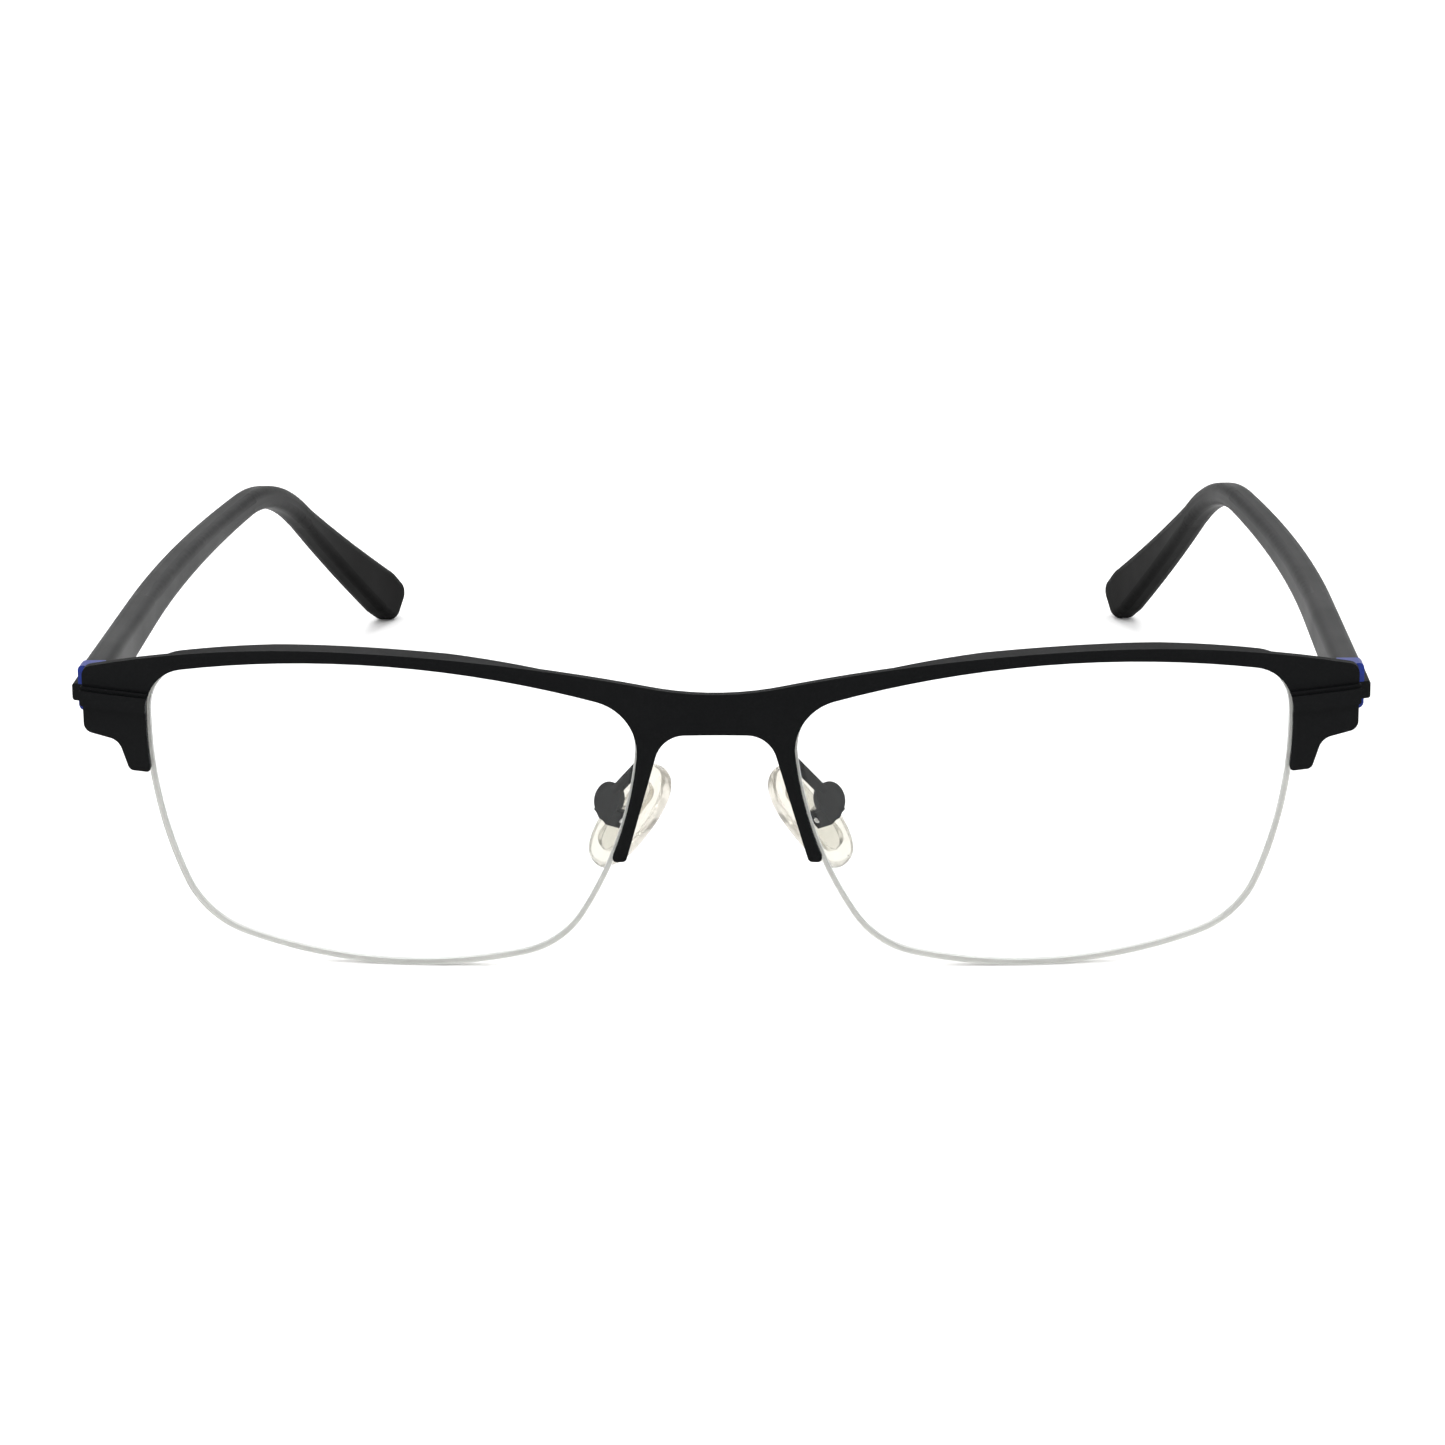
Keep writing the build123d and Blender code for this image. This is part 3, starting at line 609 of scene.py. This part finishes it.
def screw_tree():
    """A tree that makes a slotted screw, head up, with its head base at the origin."""
    tree, given, made = node_group("slotted_screw", [
        ("Head Radius", "Float"), ("Head Height", "Float"), ("Core Radius", "Float"),
        ("Crest Radius", "Float"), ("Length", "Float"), ("Pitch", "Float"),
        ("Slot Width", "Float"), ("Finish", "Material")])
    value = given.outputs

    def worked_out(a, operation, b):
        """A socket with the result, where a and b are numbers or sockets."""
        node = add_node(tree, "ShaderNodeMath", {"operation": operation})
        for socket, item in zip(node.inputs, (a, b)):
            if isinstance(item, bpy.types.NodeSocket):
                tree.links.new(item, socket)
            else:
                socket.default_value = item
        return node.outputs[0]

    def at_height(geometry, height):
        place = add_node(tree, "ShaderNodeCombineXYZ", None, {"Z": height})
        return add_node(tree, "GeometryNodeTransform", None, {
            "Geometry": geometry, "Translation": place.outputs["Vector"]}).outputs["Geometry"]

    head = add_node(tree, "GeometryNodeMeshCylinder", None, {
        "Vertices": HEAD_SIDES, "Radius": value["Head Radius"], "Depth": value["Head Height"]})
    size = add_node(tree, "ShaderNodeCombineXYZ", None, {
        "X": worked_out(value["Head Radius"], "MULTIPLY", 4.0), "Y": value["Slot Width"],
        "Z": value["Head Height"]})
    slot = add_node(tree, "GeometryNodeMeshCube", None, {"Size": size.outputs["Vector"]})
    slot_top = at_height(slot.outputs["Mesh"], worked_out(value["Head Height"], "MULTIPLY", 0.6))
    cut = add_node(tree, "GeometryNodeMeshBoolean", {"operation": "DIFFERENCE"})
    tree.links.new(head.outputs["Mesh"], cut.inputs["Mesh 1"])
    tree.links.new(slot_top, cut.inputs["Mesh 2"])
    head_up = at_height(cut.outputs["Mesh"], worked_out(value["Head Height"], "MULTIPLY", 0.5))
    core = add_node(tree, "GeometryNodeMeshCylinder", None, {
        "Vertices": CORE_SIDES, "Radius": value["Core Radius"], "Depth": value["Length"]})
    core_down = at_height(core.outputs["Mesh"], worked_out(value["Length"], "MULTIPLY", -0.5))
    crest = add_node(tree, "GeometryNodeMeshCone", None, {
        "Vertices": CORE_SIDES, "Radius Top": value["Core Radius"],
        "Radius Bottom": value["Crest Radius"],
        "Depth": worked_out(value["Pitch"], "MULTIPLY", 0.5)})
    turns = worked_out(value["Length"], "DIVIDE", value["Pitch"])
    steps = worked_out(turns, "SUBTRACT", 1.0)
    back = add_node(tree, "ShaderNodeCombineXYZ", None,
                    {"Z": worked_out(value["Pitch"], "MULTIPLY", -1.0)})
    line = add_node(tree, "GeometryNodeMeshLine", None, {
        "Count": steps, "Start Location": back.outputs["Vector"], "Offset": back.outputs["Vector"]})
    crests = add_node(tree, "GeometryNodeInstanceOnPoints", None, {
        "Points": line.outputs["Mesh"], "Instance": crest.outputs["Mesh"]})
    join = tree.nodes.new("GeometryNodeJoinGeometry")
    for part in (head_up, core_down, crests.outputs["Instances"]):
        tree.links.new(part, join.inputs["Geometry"])
    whole = add_node(tree, "GeometryNodeRealizeInstances", None,
                     {"Geometry": join.outputs["Geometry"]})
    finish = add_node(tree, "GeometryNodeSetMaterial", None, {
        "Geometry": whole.outputs["Geometry"], "Material": value["Finish"]})
    tree.links.new(finish.outputs["Geometry"], made.inputs[0])
    return tree


# %% [markdown]
# ## Place the screws
# The tree makes a screw that points up at the origin. The joint that turns on a
# screw gives its place and its direction, so it is turned and moved in its mesh.
# The hinge screws are driven from above, and the pad screws from the front.
#
# %% Make the screws
screw_nodes = screw_tree()
HINGE_SCREW = {"Head Radius": 1.0 * MM, "Head Height": 0.4 * MM, "Core Radius": 0.47 * MM,
               "Crest Radius": 0.55 * MM, "Length": 4.9 * MM, "Pitch": 0.35 * MM,
               "Slot Width": 0.3 * MM, "Finish": screw_steel}
HINGE_HEAD_BASE = 2.35 * MM
PAD_SCREW = {"Head Radius": 0.65 * MM, "Head Height": 0.3 * MM, "Core Radius": 0.34 * MM,
             "Crest Radius": 0.4 * MM, "Length": 2.7 * MM, "Pitch": 0.25 * MM,
             "Slot Width": 0.2 * MM, "Finish": screw_steel}
PAD_HEAD_BASE = 1.35 * MM


def place_screw(name, sizes, node, place, along):
    """Makes a screw with its head base at a place, its head pointing along a direction."""
    screw = grown_by_tree(name, bpy.data.meshes.new(name), screw_nodes, sizes)
    turn = Vector(along).to_track_quat("Z", "Y").to_matrix().to_4x4()
    screw.data.transform(Matrix.Translation(place) @ turn)
    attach(screw, "front")
    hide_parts(node)
    print(name, "faces", len(screw.data.polygons))


up = Vector(JOINTS["temple_right_fold"]["axis"])     # the left joint's axis points down
for side in SIDES:
    fold = JOINTS["temple_" + side + "_fold"]
    place_screw("slotted_hinge_screw_" + side, HINGE_SCREW, "hinge_screw_" + side,
                Vector(fold["pos_m"]) + up * HINGE_HEAD_BASE, up)
    rock = JOINTS["pad_" + side + "_rock"]
    towards = -Vector(rock["axis"])
    place_screw("slotted_pad_screw_" + side, PAD_SCREW, "pad_screw_" + side,
                Vector(rock["pos_m"]) + towards * PAD_HEAD_BASE, towards)

# %% [markdown]
# ## Nose pads
# A silicone pad is moulded round a stiff insert. It is a rounded oval, flat at
# the back where the insert shows, full at the side and gently domed towards the
# nose. A bevelled slab has no dome, so the pad is a stack of rings in its own
# axes: across, along and away from the nose. The first rings line the pocket
# that the insert fills.
#
# %% Make the nose pads
PAD_SPLAY, PAD_FRONTAL = math.radians(40.0), math.radians(36.0)
PAD_HALF_WIDTH, PAD_HALF_LENGTH = 3.25 * MM, 6.65 * MM
PAD_BACK, PAD_FRONT = -1.35 * MM, -3.75 * MM
INSERT_HALF_WIDTH, INSERT_HALF_LENGTH, INSERT_DEPTH = 1.53 * MM, 4.53 * MM, 0.83 * MM
PAD_POINTS = 72
POCKET_POWER, PAD_POWER = 2.6, 2.35    # 2 is an ellipse, and more has fuller corners
END_ROUNDING = 1.4                     # the ends of the pad draw in faster than its sides
PAD_SHARP_EDGE = math.radians(50)
PAD_PROFILE = [                        # mm in from the side, and share of the thickness
    (0.75, 0.0), (0.35, 0.03), (0.12, 0.12), (0.02, 0.28), (0.0, 0.42), (0.04, 0.58),
    (0.18, 0.74), (0.45, 0.86), (0.9, 0.94), (1.6, 0.985), (2.4, 1.0),
]


def pad_axes(side):
    """The pad's place in the standing glasses and its axes across, along and away."""
    tip = Matrix.Rotation(-PAD_FRONTAL, 3, "Y")
    across = tip @ Vector((math.sin(PAD_SPLAY), math.cos(PAD_SPLAY), 0))
    away = tip @ Vector((math.cos(PAD_SPLAY), -math.sin(PAD_SPLAY), 0))
    along = away.cross(across)
    axes = [lean_turn @ axis for axis in (across, along, away)]
    if side == "left":
        axes = [Vector((-axis.x, axis.y, axis.z)) for axis in axes]
    place = Vector(JOINTS["pad_" + side + "_rock"]["pos_m"])
    return place, *axes


def oval(half_width, half_length, power):
    """A rounded oval; a higher power has fuller corners."""
    points = []
    for i in range(PAD_POINTS):
        turn = 2 * math.pi * i / PAD_POINTS
        c, s = math.cos(turn), math.sin(turn)
        points.append((math.copysign(abs(c) ** (2 / power), c) * half_width,
                       math.copysign(abs(s) ** (2 / power), s) * half_length))
    return points


def pad_rings():
    """Rings from the pocket floor round the back, the side and the nose face."""
    floor = PAD_BACK - INSERT_DEPTH
    pocket = oval(INSERT_HALF_WIDTH, INSERT_HALF_LENGTH, POCKET_POWER)
    rings = [[(x * 0.5, y * 0.5, floor) for x, y in pocket], [(x, y, floor) for x, y in pocket],
             [(x, y, PAD_BACK) for x, y in pocket]]
    for inward, share in PAD_PROFILE:
        height = PAD_BACK + (PAD_FRONT - PAD_BACK) * share
        half_length = PAD_HALF_LENGTH - inward * MM * END_ROUNDING
        edge = oval(PAD_HALF_WIDTH - inward * MM, half_length, PAD_POWER)
        rings.append([(x, y, height) for x, y in edge])
    return rings


for side in SIDES:
    name = "silicone_nose_pad_" + side
    place, across, along, away = pad_axes(side)

    def set_in(point):
        return place + across * point[0] + along * point[1] + away * point[2]

    rings = [[set_in(point) for point in ring] for ring in pad_rings()]
    mesh = ring_net(name, rings, set_in((0, 0, PAD_BACK - INSERT_DEPTH)), set_in((0, 0, PAD_FRONT)))
    mesh.set_sharp_from_angle(angle=PAD_SHARP_EDGE)
    mesh.materials.append(pad_silicone)
    pad = new_object(name, mesh)
    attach(pad, "pad_" + side)
    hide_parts("nose_pad_" + side)
    print(name, "faces", len(mesh.polygons))

# %% [markdown]
# ## Studio
# The glasses stand on a plain pale floor that curves up into a backdrop, as on a
# roll of white paper. A flat floor would end in a hard horizon, and the curve
# hides it.
#
# %% Floor and backdrop
PAPER_CLOUD = 16.7         # mm across one slow change of tone in the paper


def backdrop():
    """A wide floor with a rounded sweep behind, as one swept strip, in metres."""
    width, front, back, height, bend = 8.0, -4.0, 3.0, 2.5, 0.8
    profile = [(front, 0.0)]
    steps = 16
    for step in range(steps + 1):
        turn = math.pi / 2 * step / steps
        profile.append((back - bend + bend * math.sin(turn), bend - bend * math.cos(turn)))
    profile.append((back, height))
    mesh = bpy.data.meshes.new("studio_floor")
    points = [(x, y, z) for y, z in profile for x in (-width / 2, width / 2)]
    faces = [(2 * i, 2 * i + 1, 2 * i + 3, 2 * i + 2) for i in range(len(profile) - 1)]
    mesh.from_pydata(points, [], faces)
    mesh.shade_smooth()
    made, tree, output, place = new_material("white_paper_backdrop")
    fibre = add_node(tree, "ShaderNodeTexNoise", None, {"Vector": place, "Scale": per_mm(PAPER_CLOUD)})
    tone = add_node(tree, "ShaderNodeMix", {"data_type": "RGBA"}, {
        "Factor": fibre.outputs["Fac"], 6: colour("FAFAFA"), 7: colour("FDFDFD")})
    shader = add_node(tree, "ShaderNodeBsdfPrincipled", None, {
        "Base Color": tone.outputs[2], "Roughness": 0.9, "Specular IOR Level": 0.1})
    tree.links.new(shader.outputs["BSDF"], output.inputs["Surface"])
    mesh.materials.append(made)
    return new_object("studio_floor", mesh)


floor = backdrop()
print("studio floor faces", len(floor.data.polygons))

# %% [markdown]
# ## Lights
# Black frames show only what they reflect. A bright even sky keeps the shadows
# faint, two weak boxes in front shape the sheet without greying it, and the
# strongest box stands behind, so that the tops of the temples catch its light
# while the tips, which slope towards the camera, stay dark.
#
# %% Lights and world
LIGHTS_AIM = Vector((0, 0, 0.01))
SOFTBOXES = {              # place and size in metres, power in watts
    "key_softbox": ((-0.35, -0.55, 0.75), (0.7, 0.5), 2.0),
    "fill_softbox": ((0.6, -0.35, 0.6), (0.6, 0.5), 1.2),
    "back_softbox": ((0.0, 0.6, 0.8), (0.9, 0.4), 5.5),
}


def softbox(name, place, size, power):
    """A rectangular area light that faces the glasses."""
    data = bpy.data.lights.new(name, "AREA")
    data.shape = "RECTANGLE"
    data.size, data.size_y = size
    data.energy = power
    lamp = new_object(name, data)
    lamp.location = place
    lamp.rotation_mode = "QUATERNION"
    lamp.rotation_quaternion = (LIGHTS_AIM - Vector(place)).to_track_quat("-Z", "Y")


for name, (place, size, power) in SOFTBOXES.items():
    softbox(name, place, size, power)
world = bpy.data.worlds.new("studio_light")
world.use_nodes = True
bpy.context.scene.world = world
sky = world.node_tree.nodes["Background"]
sky.inputs["Color"].default_value = colour("FFFFFF")
sky.inputs["Strength"].default_value = 1.05
bpy.context.scene.view_settings.view_transform = "Standard"

# %% [markdown]
# ## Camera
# A long lens from slightly above, turned a little to one side and rolled by
# less than a degree. It is placed by its distance and two angles from a target
# on the bridge, which is easier to adjust than a place and a rotation. The
# target is tied to the front of the sheet.
#
# %% Camera
TARGET = Vector((0.0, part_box("front_plate")[0].y + 1.4014 * MM, 28.325 * MM))
AZIMUTH, ELEVATION, ROLL = 2.264, 17.5, 0.771
DISTANCE = 0.5
FOCAL_LENGTH, SENSOR = 116.32, 36.0
SIDE_SHIFT = 0.0048

camera_data = bpy.data.cameras.new("camera")
camera_data.lens = FOCAL_LENGTH
camera_data.sensor_width = SENSOR
camera_data.shift_x = SIDE_SHIFT
camera_data.clip_start = 0.02
camera = new_object("camera", camera_data)
turn, lift = math.radians(AZIMUTH), math.radians(ELEVATION)
towards = Vector((math.sin(turn) * math.cos(lift), -math.cos(turn) * math.cos(lift), math.sin(lift)))
camera.location = TARGET + towards * DISTANCE
aim = (-towards).to_track_quat("-Z", "Y").to_matrix() @ Matrix.Rotation(-math.radians(ROLL), 3, "Z")
camera.rotation_euler = aim.to_euler()
bpy.context.scene.camera = camera
print("camera at", tuple(round(c, 3) for c in camera.location))
